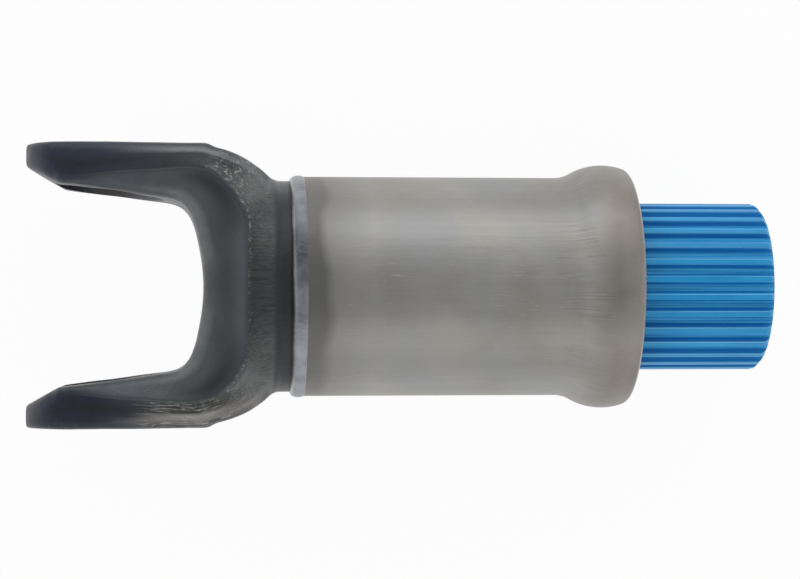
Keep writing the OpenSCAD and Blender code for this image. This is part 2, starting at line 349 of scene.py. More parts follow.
def ring_faces(rings, around, closed=False):
    """Quads between neighbouring rings of equal length"""
    faces = []
    for i in range(rings if closed else rings - 1):
        for j in range(around):
            k = (j + 1) % around
            n = (i + 1) % rings
            faces.append((i * around + j, i * around + k, n * around + k, n * around + j))
    return faces


def turned_piece(name, outline, segments, closed=False):
    """A piece turned round the shaft's axis from its outline of places and radii"""
    points, rings = [], []
    for x, r in outline:
        rings.append(range(len(points), len(points) + (segments if r > 0 else 1)))
        for j in range(len(rings[-1])):
            a = 2 * math.pi * j / segments
            points.append((x, r * math.sin(a), r * math.cos(a)))
    pairs = list(zip(rings, rings[1:]))
    if closed:
        pairs.append((rings[-1], rings[0]))
    faces = []
    for one, two in pairs:
        for j in range(segments):
            k = (j + 1) % segments
            if len(one) == 1:
                faces.append((one[0], two[k], two[j]))
            elif len(two) == 1:
                faces.append((one[j], one[k], two[0]))
            else:
                faces.append((one[j], one[k], two[k], two[j]))
    return new_piece(name, points, faces)


def settle(piece):
    """Keeps what a piece's modifiers make as its own mesh"""
    graph = bpy.context.evaluated_depsgraph_get()
    made = bpy.data.meshes.new_from_object(piece.evaluated_get(graph))
    piece.modifiers.clear()
    plain = piece.data
    piece.data = made
    bpy.data.meshes.remove(plain)


def outward(piece):
    """Turns every face of a closed mesh outwards"""
    work = bmesh.new()
    work.from_mesh(piece.data)
    bmesh.ops.recalc_face_normals(work, faces=work.faces)
    work.to_mesh(piece.data)
    work.free()


def smooth_shade(piece, sharp_from):
    piece.data.shade_smooth()
    piece.data.set_sharp_from_angle(angle=math.radians(sharp_from))


half_fork = [fork_ring(station) for station in stations]
fork_rings = [ring for ring, across in half_fork]
fork_rings += [[(x, -y, z) for x, y, z in ring] for ring in reversed(fork_rings[:-1])]
ridges = [mix(np.array(station[0]), np.array(station[1]), ridge_share) for station in stations]
half_flow = np.cumsum([0] + [np.linalg.norm(two - one) for one, two in zip(ridges, ridges[1:])])
half_places = [(across, flow) for (ring, across), flow in zip(half_fork, half_flow)]
fork_places = half_places + half_places[-2::-1]
around = len(fork_rings[0])
fork_faces = ring_faces(len(fork_rings), around)
fork_faces.append(tuple(range(around)))
fork_faces.append(tuple(range((len(fork_rings) - 1) * around, len(fork_rings) * around)))
fork_points = [p for ring in fork_rings for p in ring]

neck_piece = turned_piece("neck", [
    (throat_x + sunk, 0), (neck_x - 2 * sunk, neck_r), (tube_x + 2 * MM, neck_r), (tube_x + 2 * MM, 0)],
    round_n)
neck_shift = len(fork_points)
fork = new_piece(
    "forged_fork",
    fork_points + [tuple(v.co) for v in neck_piece.data.vertices],
    fork_faces + [tuple(i + neck_shift for i in face.vertices) for face in neck_piece.data.polygons])
bpy.data.objects.remove(neck_piece)
outward(fork)

# The dies' edges run into one skin: a fine voxel skin over loft and neck, then smoothed into fillets
skin = fork.modifiers.new("skin", "REMESH")
skin.mode = "VOXEL"
skin.voxel_size = 1.15 * MM
fillet = fork.modifiers.new("fillet", "SMOOTH")
fillet.factor = 0.5
fillet.iterations = 6
settle(fork)

# Each ring point's place across the side, -1 and 3 in the middle of the inner and the outer flat, and its
# place along the flow, from an ear's tip to the web
flat_n = 10
known_points = list(fork_points)
ring_places = [(one, flow) for across, flow in fork_places for one in across]
for ring, (across, flow) in zip(fork_rings, fork_places):
    for edge, middle in ((0, -1.0), (around // 2 - 1, 3.0)):
        start, end = np.array(ring[edge]), np.array(ring[around - 1 - edge])
        for share in np.linspace(0, 1, flat_n + 1)[1:-1]:
            known_points.append(mix(start, end, share))
            ring_places.append((mix(across[edge], middle, 1 - abs(2 * share - 1)), flow))
ring_places = np.array(ring_places)
ring_tree = KDTree(len(known_points))
for i, p in enumerate(known_points):
    ring_tree.insert(p, i)
ring_tree.balance()


def vertex_rows(mesh, field):
    """Places or normals of all of a mesh's vertices, one row each"""
    rows = np.empty(len(mesh.vertices) * 3, np.float32)
    mesh.vertices.foreach_get(field, rows)
    return rows.reshape(-1, 3)


def neighbour_mean(mesh, values):
    """Each vertex's mean of its neighbours' values"""
    ends = np.empty(len(mesh.edges) * 2, np.int32)
    mesh.edges.foreach_get("vertices", ends)
    ends = ends.reshape(-1, 2)
    total = np.zeros(len(mesh.vertices))
    count = np.bincount(ends.ravel(), minlength=len(total))
    total += np.bincount(ends[:, 0], values[ends[:, 1]], len(total))
    total += np.bincount(ends[:, 1], values[ends[:, 0]], len(total))
    return total / np.maximum(count, 1)


def forging_places(mesh):
    """Each vertex's place across the fork's side and along its flow, read from the nearest rings"""
    neighbours, softening, passes = 6, 0.5 * MM, 10
    rows = []
    for p in vertex_rows(mesh, "co"):
        near = ring_tree.find_n(p, neighbours)
        weights = np.array([1 / (distance + softening) for co, index, distance in near])
        rows.append(weights @ ring_places[[index for co, index, distance in near]] / weights.sum())
    across, flow = np.array(rows).T
    for _ in range(passes):
        across, flow = neighbour_mean(mesh, across), neighbour_mean(mesh, flow)
    return across, flow


def rise(values, low, high):
    """0 below low, 1 above high, and a smooth step between"""
    t = np.clip((values - low) / (high - low), 0, 1)
    return t * t * (3 - 2 * t)


bend_flow = float(half_flow[nose_n + side_n])
back_flow = float(half_flow[nose_n + side_n + back_n])
base_flow = float(half_flow[nose_n + side_n + back_n + shoulder_n])

# Where the tears start along the flow, on the near ear and on the far one, and how soon they are in full
torn_from = (back_flow - 34 * MM, back_flow - 2 * MM)
torn_rise = 22 * MM
base_fade = 26 * MM
base_tears = 0.25
flat_end = base_flow - 8 * MM
flat_calm = 0.85


def torn_share(places, across, flow):
    """How rough the trimming left each vertex: most at the shoulders, least across the base"""
    start = mix(*torn_from, rise(places[:, 1], -1 * MM, 1 * MM))
    at_base = rise(flow, base_flow - base_fade, base_flow)
    torn = rise(flow, start, start + torn_rise) * mix(1, base_tears, at_base)
    outer_flat = rise(across, 2.0, 2.2) * (1 - rise(flow, flat_end, base_flow))
    torn = torn * rise(across, 0.95, 1.08) * (1 - flat_calm * outer_flat)
    return torn * rise(-places[:, 0], -neck_x, -neck_x + 1.5 * MM)


wave_size = 24 * MM
wave_height = 0.3 * MM
wave_level = 0.6
tear_length = 9 * MM
tear_width = 1.3 * MM
tear_height = 0.6 * MM
tear_sink = 0.2
side_step = 15 * MM
lift_fade = 20 * MM
places = vertex_rows(fork.data, "co")
normals = vertex_rows(fork.data, "normal")
across, flow = forging_places(fork.data)
torn = torn_share(places, across, flow) * (1 - rise(flow, base_flow - lift_fade, base_flow))
lifts = np.zeros(len(places))
for i, (x, y, z) in enumerate(places):
    if x < neck_x:
        wave = noise.fractal(Vector((x, y, z)) / wave_size, 1.0, 2.0, 3)
        tear_spot = Vector((flow[i] / tear_length, across[i] * side_step / tear_width, y / wave_size))
        tear = noise.fractal(tear_spot, 0.8, 2.1, 3)
        lifts[i] = wave_height * (wave - wave_level) * 0.5 + tear_height * torn[i] * (tear * 0.6 - tear_sink)
places += normals * lifts[:, None]
places[:, 1] = np.clip(places[:, 1], -ear_y, ear_y)
fork.data.vertices.foreach_set("co", places.ravel())
fork.data.update()

# Boring bar's cut through both ears, with the two snap ring grooves and a chamfer at each outer face
groove_inset = 3.5 * MM
groove_w = 2.7 * MM
groove_depth = 1.3 * MM
bore_chamfer = 0.9 * MM
over = 2 * MM
half_cut = [
    (0, bore_r),
    (ear_y - groove_inset - groove_w, bore_r),
    (ear_y - groove_inset - groove_w, bore_r + groove_depth),
    (ear_y - groove_inset, bore_r + groove_depth),
    (ear_y - groove_inset, bore_r),
    (ear_y - bore_chamfer, bore_r),
    (ear_y + over, bore_r + bore_chamfer + over)]
cut_outline = [(-x, r) for x, r in reversed(half_cut[1:])] + half_cut[1:]
cutter = turned_piece(
    "boring_bar", [(cut_outline[0][0], 0)] + cut_outline + [(cut_outline[-1][0], 0)], round_n)
cutter.data.transform(Matrix.Rotation(math.pi / 2, 4, "Z"))
outward(cutter)
boring = fork.modifiers.new("boring", "BOOLEAN")
boring.operation = "DIFFERENCE"
boring.solver = "MANIFOLD"
boring.object = cutter
settle(fork)
bpy.data.objects.remove(cutter)
smooth_shade(fork, sharp_from=38)


def edge_share(mesh, flat, tight, passes):
    """How sharply the surface turns outwards at each vertex, from flat (0) to tight (1)"""
    rows, facing = vertex_rows(mesh, "co"), vertex_rows(mesh, "normal")
    means = np.stack([neighbour_mean(mesh, rows[:, k].astype(float)) for k in range(3)], axis=1)
    bend = ((rows - means) * facing).sum(axis=1)
    for _ in range(passes):
        bend = (bend + neighbour_mean(mesh, bend)) / 2
    return np.clip((bend - flat) / (tight - flat), 0, 1)


def keep_mask(piece, name, shares):
    """Stores a share for each vertex, for a material to read by name"""
    mask = piece.data.attributes.new(name, "FLOAT", "POINT")
    mask.data.foreach_set("value", np.asarray(shares, np.float32))


places = vertex_rows(fork.data, "co")
across, flow = forging_places(fork.data)
keep_mask(fork, "side_place", across)
keep_mask(fork, "flow_place", flow)
keep_mask(fork, "torn", torn_share(places, across, flow))
keep_mask(fork, "worn_edge", edge_share(fork.data, flat=0.012 * MM, tight=0.11 * MM, passes=3))


def seen(red, green, blue):
    """A colour as the eye sees it, from 0 to 255, as the light that a shader wants"""
    return tuple((c / 255 / 12.92) if c < 10.3 else ((c / 255 + 0.055) / 1.055) ** 2.4
                 for c in (red, green, blue)) + (1,)


def times(tree, *values):
    """Values multiplied together"""
    product = values[0]
    for value in values[1:]:
        product = calc(tree, "MULTIPLY", product, value)
    return product


def spread(tree, value, low, high, to_low=0.0, to_high=1.0):
    """A value that runs from to_low to to_high as another goes from low to high"""
    return add_node(tree, "ShaderNodeMapRange", {
        "Value": value, "From Min": low, "From Max": high, "To Min": to_low, "To Max": to_high}).outputs[0]


def between(tree, share, to_low, to_high):
    """A value that runs from to_low to to_high as a share goes from 0 to 1"""
    return spread(tree, share, 0.0, 1.0, to_low, to_high)


def band(tree, value, centre, reach):
    """1 where a value is at the centre, fading softly to 0 at a reach on either side"""
    off = calc(tree, "ABSOLUTE", calc(tree, "SUBTRACT", value, centre))
    return add_node(tree, "ShaderNodeMapRange", {
        "Value": off, "From Min": 0.0, "From Max": reach, "To Min": 1.0, "To Max": 0.0},
        interpolation_type="SMOOTHSTEP").outputs[0]


def blend(tree, share, low, high):
    """One colour turning into another. Three numbers are a colour as the eye sees it."""
    low, high = (seen(*tone) if isinstance(tone, tuple) else tone for tone in (low, high))
    return add_node(tree, "ShaderNodeMix", {0: share, 6: low, 7: high}, data_type="RGBA").outputs[2]


def lay(tree, colour, tone, *shares):
    """A tone laid over a colour, as strongly as all its shares multiplied together"""
    return blend(tree, times(tree, *shares), colour, tone)


def vector_calc(tree, operation, first, second=(0, 0, 0)):
    """A calculation with one vector or two"""
    return add_node(tree, "ShaderNodeVectorMath", {0: first, 1: second}, operation=operation).outputs


def noise_at(tree, spot, scale, detail, roughness):
    return add_node(tree, "ShaderNodeTexNoise", {
        "Vector": spot, "Scale": scale, "Detail": detail, "Roughness": roughness}).outputs[0]


def own_spot(tree):
    """A point's place on the part"""
    return add_node(tree, "ShaderNodeTexCoord").outputs["Object"]


def read_mask(tree, name):
    return add_node(tree, "ShaderNodeAttribute", attribute_name=name).outputs["Fac"]


def new_group(name, inputs, outputs):
    """A node group with named inputs, each with its usual value, and named outputs"""
    tree = bpy.data.node_groups.new(name, "ShaderNodeTree")
    for label, value in inputs.items():
        tree.interface.new_socket(label, in_out="INPUT", socket_type="NodeSocketFloat").default_value = value
    for label in outputs:
        tree.interface.new_socket(label, in_out="OUTPUT", socket_type="NodeSocketFloat")
    return tree, tree.nodes.new("NodeGroupInput").outputs, tree.nodes.new("NodeGroupOutput").inputs


def place_group(tree, group, **values):
    """A group placed in a material with its own values"""
    return add_node(tree, "ShaderNodeGroup", values, node_tree=group).outputs


def new_material(name, metallic, roughness):
    material = bpy.data.materials.new(name)
    material.use_nodes = True
    shader = material.node_tree.nodes["Principled BSDF"]
    shader.inputs["Metallic"].default_value = metallic
    shader.inputs["Roughness"].default_value = roughness
    return material, material.node_tree, shader


def give_surface(tree, shader, colour, roughness, height, depth):
    """Feeds a shader its colour and roughness, and a height from 0 to 1 as a bump of a real depth"""
    bump = add_node(tree, "ShaderNodeBump", {"Height": height, "Distance": depth, "Strength": 1.0})
    tree.links.new(colour, shader.inputs["Base Color"])
    tree.links.new(roughness, shader.inputs["Roughness"])
    tree.links.new(bump.outputs["Normal"], shader.inputs["Normal"])


def dress(piece, material):
    """Gives a piece its one material"""
    piece.data.materials.clear()
    piece.data.materials.append(material)


# Clouds: soft patches of a given size, with their share of the surface set by low and high
clouds, given, made = new_group(
    "clouds", {"Size": 0.03, "Low": 0.35, "High": 0.65, "Roughness": 0.5}, ["Cloud"])
density = calc(clouds, "DIVIDE", 1.0, given["Size"])
pattern = noise_at(clouds, own_spot(clouds), density, 4.0, given["Roughness"])
clouds.links.new(spread(clouds, pattern, given["Low"], given["High"]), made["Cloud"])


def patches(tree, size, low=0.35, high=0.65, roughness=0.5):
    return place_group(tree, clouds, Size=size, Low=low, High=high, Roughness=roughness)["Cloud"]


# Streaks: short lines that run along the shaft, with their length and width. Where Turned is 1 they keep
# to one side of the shaft's axis however far out the surface goes, as on a flared tube.
streaks, given, made = new_group(
    "streaks", {"Length": 0.02, "Width": 0.0006, "Low": 0.35, "High": 0.65, "Turned": 0.0}, ["Streak"])
even_r = 50 * MM
plain_spot = own_spot(streaks)
parts = add_node(streaks, "ShaderNodeSeparateXYZ", {0: plain_spot}).outputs
flat_spot = add_node(streaks, "ShaderNodeCombineXYZ", {"Y": parts["Y"], "Z": parts["Z"]}).outputs[0]
side = vector_calc(streaks, "NORMALIZE", flat_spot)[0]
axial_spot = add_node(streaks, "ShaderNodeCombineXYZ", {"X": parts["X"]}).outputs[0]
even_side = vector_calc(streaks, "MULTIPLY", side, (even_r, even_r, even_r))[0]
turned_spot = vector_calc(streaks, "ADD", even_side, axial_spot)[0]
spot = add_node(streaks, "ShaderNodeMix", {0: given["Turned"], 4: plain_spot, 5: turned_spot},
                data_type="VECTOR").outputs[1]
lengthwise = calc(streaks, "DIVIDE", 1.0, given["Length"])
crosswise = calc(streaks, "DIVIDE", 1.0, given["Width"])
stretch = add_node(streaks, "ShaderNodeCombineXYZ", {
    "X": lengthwise, "Y": crosswise, "Z": crosswise}).outputs[0]
pattern = noise_at(streaks, vector_calc(streaks, "MULTIPLY", spot, stretch)[0], 1.0, 2.0, 0.55)
streaks.links.new(spread(streaks, pattern, given["Low"], given["High"]), made["Streak"])


def fine_lines(tree, length, width, low, high, turned=1.0):
    return place_group(tree, streaks, Length=length, Width=width, Low=low, High=high, Turned=turned)["Streak"]


# Grains: the small round lumps and pits of scale, spatter or a moulded skin
grains, given, made = new_group("grains", {"Size": 0.001, "Low": 0.0, "High": 0.7}, ["Grain"])
cells = add_node(grains, "ShaderNodeTexVoronoi", {
    "Vector": own_spot(grains), "Scale": calc(grains, "DIVIDE", 1.0, given["Size"])}, feature="SMOOTH_F1")
grains.links.new(spread(grains, cells.outputs["Distance"], given["Low"], given["High"]), made["Grain"])

# Broken wear: a worn edge's mask, eaten into by a patchy pattern
broken_wear, given, made = new_group(
    "broken_wear", {"Edge": 0.0, "Size": 0.002, "Start": 0.35, "Full": 0.8}, ["Wear"])
density = calc(broken_wear, "DIVIDE", 1.0, given["Size"])
pattern = noise_at(broken_wear, own_spot(broken_wear), density, 3.0, 0.6)
eaten = calc(broken_wear, "ADD", given["Edge"], spread(broken_wear, pattern, 0.3, 0.7, -0.3, 0.3))
on_edge = spread(broken_wear, given["Edge"], 0.0, 0.1)
worn = times(broken_wear, spread(broken_wear, eaten, given["Start"], given["Full"]), on_edge)
broken_wear.links.new(worn, made["Wear"])

# Shaft place: how far along the shaft a point lies, how far from its axis, and its turn from the top
shaft_place, given, made = new_group("shaft_place", {}, ["Along", "Radius", "Turn"])
parts = add_node(shaft_place, "ShaderNodeSeparateXYZ", {0: own_spot(shaft_place)}).outputs
flat_spot = add_node(shaft_place, "ShaderNodeCombineXYZ", {"Y": parts["Y"], "Z": parts["Z"]}).outputs[0]
shaft_place.links.new(parts["X"], made["Along"])
shaft_place.links.new(vector_calc(shaft_place, "LENGTH", flat_spot)["Value"], made["Radius"])
shaft_place.links.new(calc(shaft_place, "ARCTAN2", parts["Y"], parts["Z"]), made["Turn"])

# Forged steel: scale all over, torn where the flash was trimmed, worn at its edges, turned at the neck and
# bright in the bores
forged_scale, tree, shader = new_material("forged_scale", 0.5, 0.42)
place = place_group(tree, shaft_place)
side_place, flow_place = read_mask(tree, "side_place"), read_mask(tree, "flow_place")
torn = read_mask(tree, "torn")
at_base = spread(tree, flow_place, base_flow - 20 * MM, base_flow)
near_ear = spread(tree, place["Turn"], -0.3, 0.3, 1.0, 0.0)
big_cloud = patches(tree, 45 * MM, 0.38, 0.62)
small_cloud = patches(tree, 12 * MM, 0.3, 0.7, 0.65)
fine_grain = place_group(tree, grains, Size=1.1 * MM)["Grain"]
worn_edge = read_mask(tree, "worn_edge")
worn = place_group(tree, broken_wear, Edge=worn_edge, Size=2.5 * MM, Start=0.3, Full=0.9)["Wear"]

# Tears follow the forging's flow on the ears and run along the shaft at the base
axial_tears = fine_lines(tree, 16 * MM, 0.7 * MM, 0.36, 0.64, turned=0.0)
flow_scale, side_scale, turn_scale = 85.0, 19.0, 1.5
flow_spot = add_node(tree, "ShaderNodeCombineXYZ", {
    "X": times(tree, flow_place, flow_scale), "Y": times(tree, side_place, side_scale),
    "Z": times(tree, place["Turn"], turn_scale)}).outputs[0]
flow_tears = spread(tree, noise_at(tree, flow_spot, 1.0, 7.0, 0.72), 0.42, 0.62)
tears = between(tree, at_base, flow_tears, axial_tears)
wavy_lines = band(tree, noise_at(tree, flow_spot, 0.45, 2.2, 0.55), 0.5, 0.024)
wavy_lines = times(tree, wavy_lines, between(tree, at_base, 0.9, 0.0))

# Bored: close round the bore's axis, on faces that look along neither ear
bore_reach = bore_r + groove_depth + 0.2 * MM
ear_facing = 0.85
from_bore = vector_calc(tree, "LENGTH", vector_calc(tree, "MULTIPLY", own_spot(tree), (1, 0, 1))[0])["Value"]
facing = add_node(tree, "ShaderNodeSeparateXYZ", {
    0: add_node(tree, "ShaderNodeNewGeometry").outputs["True Normal"]}).outputs["Y"]
bored = times(tree, calc(tree, "LESS_THAN", from_bore, bore_reach),
              calc(tree, "LESS_THAN", calc(tree, "ABSOLUTE", facing), ear_facing))

# Scale: blue at the ears' ends and grey further back, darkest at the very tips. Painted highlights lie inside
# and along the ridge and on the inner rim, and painted shade lies in the hollows, corners and outer flanks.
tip_blue = spread(tree, place["Along"], -20 * MM, 45 * MM)
colour = blend(tree, tip_blue, blend(tree, big_cloud, (27, 32, 48), (42, 48, 66)),
               blend(tree, big_cloud, (48, 52, 54), (66, 69, 70)))
# Painted highlight: the inner flank inside the ridge is made lighter, past the tips
inner_flank_highlight = spread(tree, side_place, 0.85, 1.04, 1.0, 0.0)
past_tip = spread(tree, flow_place, 12 * MM, 45 * MM)
colour = lay(tree, colour, (90, 94, 97), inner_flank_highlight, past_tip, 0.7)
# Painted shade in the hollow of the web
web_hollow_shade = times(tree, band(tree, side_place, 0.4, 0.4), at_base)
colour = lay(tree, colour, (46, 50, 54), web_hollow_shade, between(tree, big_cloud, 0.6, 0.2))
nose = spread(tree, place["Along"], -39.5 * MM, -34 * MM, 0.5, 0.0)
colour = lay(tree, colour, (18, 20, 28), nose)
# Painted highlight: a soft lighter line along the ears' ridge
ridge_highlight = times(tree, band(tree, side_place, 0.97, 0.05), band(tree, flow_place, bend_flow, 50 * MM))
colour = lay(tree, colour, (122, 124, 126), ridge_highlight, 0.3)
# Painted shade in the concave corner between each ear and the web
corner = band(tree, flow_place, bend_flow + 34 * MM, 34 * MM)
colour = lay(tree, colour, (30, 34, 40), corner, band(tree, side_place, 0.72, 0.42), 0.85)
# Painted highlight along the inner rim near the throat
inner_rim_highlight = times(tree, band(tree, flow_place, bend_flow + 30 * MM, 50 * MM), band(tree, side_place, 0.06, 0.2))
colour = lay(tree, colour, (132, 135, 136), inner_rim_highlight, 0.6)
# Painted shade on the ears' outer flanks
outer_flank_shade = times(tree, band(tree, side_place, 1.4, 0.4), band(tree, flow_place, bend_flow - 30 * MM, 50 * MM))
colour = lay(tree, colour, (28, 30, 34), outer_flank_shade, 0.7)
colour = lay(tree, colour, (42, 46, 52), small_cloud, 0.3)

# Torn steel: light lines and dark gaps, with pits and chips at the shoulders, most of all on the far one
torn_colour = blend(tree, tears, (32, 34, 36), (122, 121, 117))
line_colour = blend(tree, near_ear, (184, 190, 196), (206, 204, 197))
torn_colour = lay(tree, torn_colour, line_colour, wavy_lines)
colour = lay(tree, colour, torn_colour, torn, between(tree, small_cloud, 0.8, 0.5))
at_shoulder = times(tree, spread(tree, torn, 0.1, 0.6), between(tree, near_ear, 1.0, 0.4),
                    band(tree, flow_place, (back_flow + base_flow) / 2, 45 * MM))
colour = lay(tree, colour, (20, 22, 24), at_shoulder, patches(tree, 3 * MM, 0.52, 0.64, 0.7), 0.88)
colour = lay(tree, colour, (172, 174, 173), at_shoulder, patches(tree, 2.2 * MM, 0.55, 0.62, 0.8), 0.85)

# Trimmed land: paler trimmed steel along the ears' outer edges, carrying a painted highlight that is
# brightest where the near ear bends in
trim_bend = band(tree, flow_place, bend_flow + 16 * MM, 46 * MM)
trimmed_land_and_highlight = times(tree, band(tree, side_place, 1.84, 0.17), trim_bend)
trim_colour = blend(tree, spread(tree, place["Turn"], -0.5, 0.5), (150, 147, 143), (128, 130, 134))
colour = lay(tree, colour, trim_colour, trimmed_land_and_highlight, between(tree, flow_tears, 0.7, 0.9))
near_bend_trim_and_highlight = times(tree, band(tree, side_place, 1.68, 0.24), band(tree, flow_place, bend_flow + 14 * MM, 30 * MM))
colour = lay(tree, colour, (180, 177, 172), near_bend_trim_and_highlight, between(tree, near_ear, 0.0, 0.75))

# Flecks of bright steel on the crest across the base, which also stand as a painted highlight along that
# ridge, and edges rubbed a little paler
crest = times(tree, band(tree, side_place, 1.0, 0.06), at_base)
colour = lay(tree, colour, (150, 153, 154), crest, patches(tree, 2 * MM, 0.54, 0.62, 0.8), 0.5)
colour = lay(tree, colour, (120, 125, 132), worn, 0.25)

# Neck: turned and dark, with a painted highlight that makes its far side lighter and painted black shade in
# the crevice at the weld. The bores are bright.
at_neck = spread(tree, place["Along"], neck_x - 1 * MM, neck_x + 1 * MM)
neck_colour_with_highlight = blend(tree, spread(tree, place["Turn"], 0.85, 1.35), (44, 45, 48), (92, 93, 96))
colour = lay(tree, colour, neck_colour_with_highlight, at_neck)
# Painted shade: black in the crevice just before the weld's toe
colour = lay(tree, colour, (14, 14, 16), spread(tree, place["Along"], tube_x - 5 * MM, tube_x - 3.6 * MM))
colour = lay(tree, colour, (120, 120, 122), bored)
rough = between(tree, bored, between(tree, small_cloud, 0.36, 0.48), 0.3)
tree.links.new(between(tree, calc(tree, "MAXIMUM", worn, bored), 0.5, 0.95), shader.inputs["Metallic"])
grain_height = times(tree, fine_grain, between(tree, bored, 0.25, 0.0))
relief = calc(tree, "ADD", grain_height, times(tree, tears, torn, 0.9))
give_surface(tree, shader, colour, rough, relief, depth=0.25 * MM)
dress(fork, forged_scale)
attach(fork, "root")
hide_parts("yoke_shaft")


# Seat and splined shaft: the far end of the same forging, turned bright between centres, with a plain
# shank behind the seat and straight-sided teeth cut over the rest. The end face keeps its centre hole.
seat_end = tube_x + 17 * MM
seat_chamfer = 1.5 * MM
shank_fillet = 7 * MM
teeth = 30
tooth_tip_r = 40.4 * MM
tooth_depth = 2.8 * MM
tooth_root_r = tooth_tip_r - tooth_depth
shank_r = tooth_root_r - 1.8 * MM
end_x = 318.2 * MM
spline_x = end_x - 188 * MM
end_chamfer = 2.9 * MM
face_r = tooth_root_r - 4 * MM
centre_r = 6 * MM
centre_angle = math.radians(30)
pilot_r = 2.4 * MM
pilot_end = 16 * MM
tooth_turn = math.radians(3.9)
land_share = 0.28
root_share = 0.34
per_tooth = 20


def arc(centre_x, centre_y, radius, first, last, steps):
    """Points of an arc, its angles in degrees from the radial direction"""
    turns = [math.radians(mix(first, last, i / steps)) for i in range(steps + 1)]
    return [(centre_x + radius * math.sin(a), centre_y + radius * math.cos(a)) for a in turns]


shank = turned_piece("seat_and_shank", [
    (tube_x + MM, 0), (tube_x + MM, neck_r - MM), (tube_x + 2 * MM, neck_r),
    (seat_end - seat_chamfer, neck_r), (seat_end, neck_r - seat_chamfer),
    *arc(seat_end + shank_fillet, shank_r + shank_fillet, shank_fillet, 270, 180, 12),
    (spline_x + end_chamfer, shank_r), (spline_x + end_chamfer, 0)], round_n)
outward(shank)
smooth_shade(shank, sharp_from=30)

# Bright turned steel: fine rings left by the tool, with a little oil
turned_steel, tree, shader = new_material("turned_steel", 1.0, 0.32)
place = place_group(tree, shaft_place)
rings_per_metre = 2600.0
rings_along = add_node(tree, "ShaderNodeTexNoise", {
    "W": calc(tree, "ADD", place["Along"], place["Radius"]), "Scale": rings_per_metre, "Detail": 2.0},
    noise_dimensions="1D").outputs[0]
cloud = patches(tree, 20 * MM)
colour = blend(tree, cloud, (138, 138, 138), (158, 157, 154))
give_surface(tree, shader, colour, between(tree, cloud, 0.28, 0.4), rings_along, depth=0.03 * MM)
dress(shank, turned_steel)
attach(shank, "root")
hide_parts("yoke_shaft")


def tooth_radius(a, tip_r, root_r, roundness):
    """Radius of the tooth outline at an angle from the first tooth's middle"""
    pitch = 2 * math.pi / teeth
    from_middle = abs((a / pitch + 0.5) % 1 - 0.5)
    down = clip((from_middle - land_share / 2) / (0.5 - land_share / 2 - root_share / 2))
    return mix(tip_r, root_r, mix(down, ease(down), roundness))


def splined_rings(stops, tip_r, root_r, roundness):
    """Rings of the splined bar at stops of place and greatest radius"""
    angles = [2 * math.pi * j / (teeth * per_tooth) for j in range(teeth * per_tooth)]
    outline = [tooth_radius(a, tip_r, root_r, roundness) for a in angles]
    rings = []
    for x, limit in stops:
        rings.append([
            (x, min(r, limit) * math.sin(tooth_turn - a), min(r, limit) * math.cos(tooth_turn - a))
            for a, r in zip(angles, outline)])
    return rings


def chamfer_stops(tip_r, length, swell, steps):
    """Stops along the spline, with a chamfer at both ends that swells a little in its middle"""
    shares = [i / steps for i in range(steps + 1)]
    radii = [mix(tip_r - length, tip_r, t) + swell * math.sin(math.pi * t) for t in shares]
    first = [(spline_x + length * t, r) for t, r in zip(shares, radii)]
    last = [(end_x - length * t, r) for t, r in zip(shares, radii)]
    return first + last[::-1]


steel_rings = splined_rings(chamfer_stops(tooth_tip_r, end_chamfer, 0, 5), tooth_tip_r, tooth_root_r, 0)
around = len(steel_rings[0])
steel_points = [p for ring in steel_rings for p in ring]
face_stops = [(end_x, face_r), (end_x, centre_r),
              (end_x - (centre_r - pilot_r) / math.tan(centre_angle), pilot_r), (end_x - pilot_end, pilot_r)]
face_turns = [tooth_turn - 2 * math.pi * j / around for j in range(around)]
for x, r in face_stops:
    steel_points += [(x, r * math.sin(a), r * math.cos(a)) for a in face_turns]
steel_faces = ring_faces(len(steel_rings) + len(face_stops), around)
steel_faces.append(tuple(range(around)))
steel_faces.append(tuple(range(len(steel_points) - around, len(steel_points))))
spline_bar = new_piece("splined_bar", steel_points, steel_faces)
outward(spline_bar)
smooth_shade(spline_bar, sharp_from=25)
dress(spline_bar, turned_steel)
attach(spline_bar, "root")
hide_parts("yoke_shaft")


# Coat: blue nylon, some half a millimetre thick, bonded over the teeth so that the shaft slides without
# fretting. It rounds the teeth off a little and is trimmed flush at the chamfered ends.
coat_t = 0.6 * MM
coat_tip_r = tooth_tip_r + coat_t
coat_root_r = tooth_root_r + coat_t
coat_swell = 0.35 * MM
coat_stops = chamfer_stops(coat_tip_r, end_chamfer, coat_swell, 8)
outer_rings = splined_rings(coat_stops, coat_tip_r, coat_root_r, 1)
inner_rings = splined_rings([(end_x, tooth_tip_r - end_chamfer), (spline_x, tooth_tip_r - end_chamfer)],
                            tooth_tip_r, tooth_root_r, 0)
coat_rings = outer_rings + inner_rings
coat = new_piece(
    "nylon_coat", [p for ring in coat_rings for p in ring], ring_faces(len(coat_rings), around, closed=True))
outward(coat)
smooth_shade(coat, sharp_from=50)
tooth_rise = [tooth_radius(2 * math.pi * j / around, 1, 0, 1) for j in range(around)]
keep_mask(coat, "tooth_rise", tooth_rise * len(coat_rings))

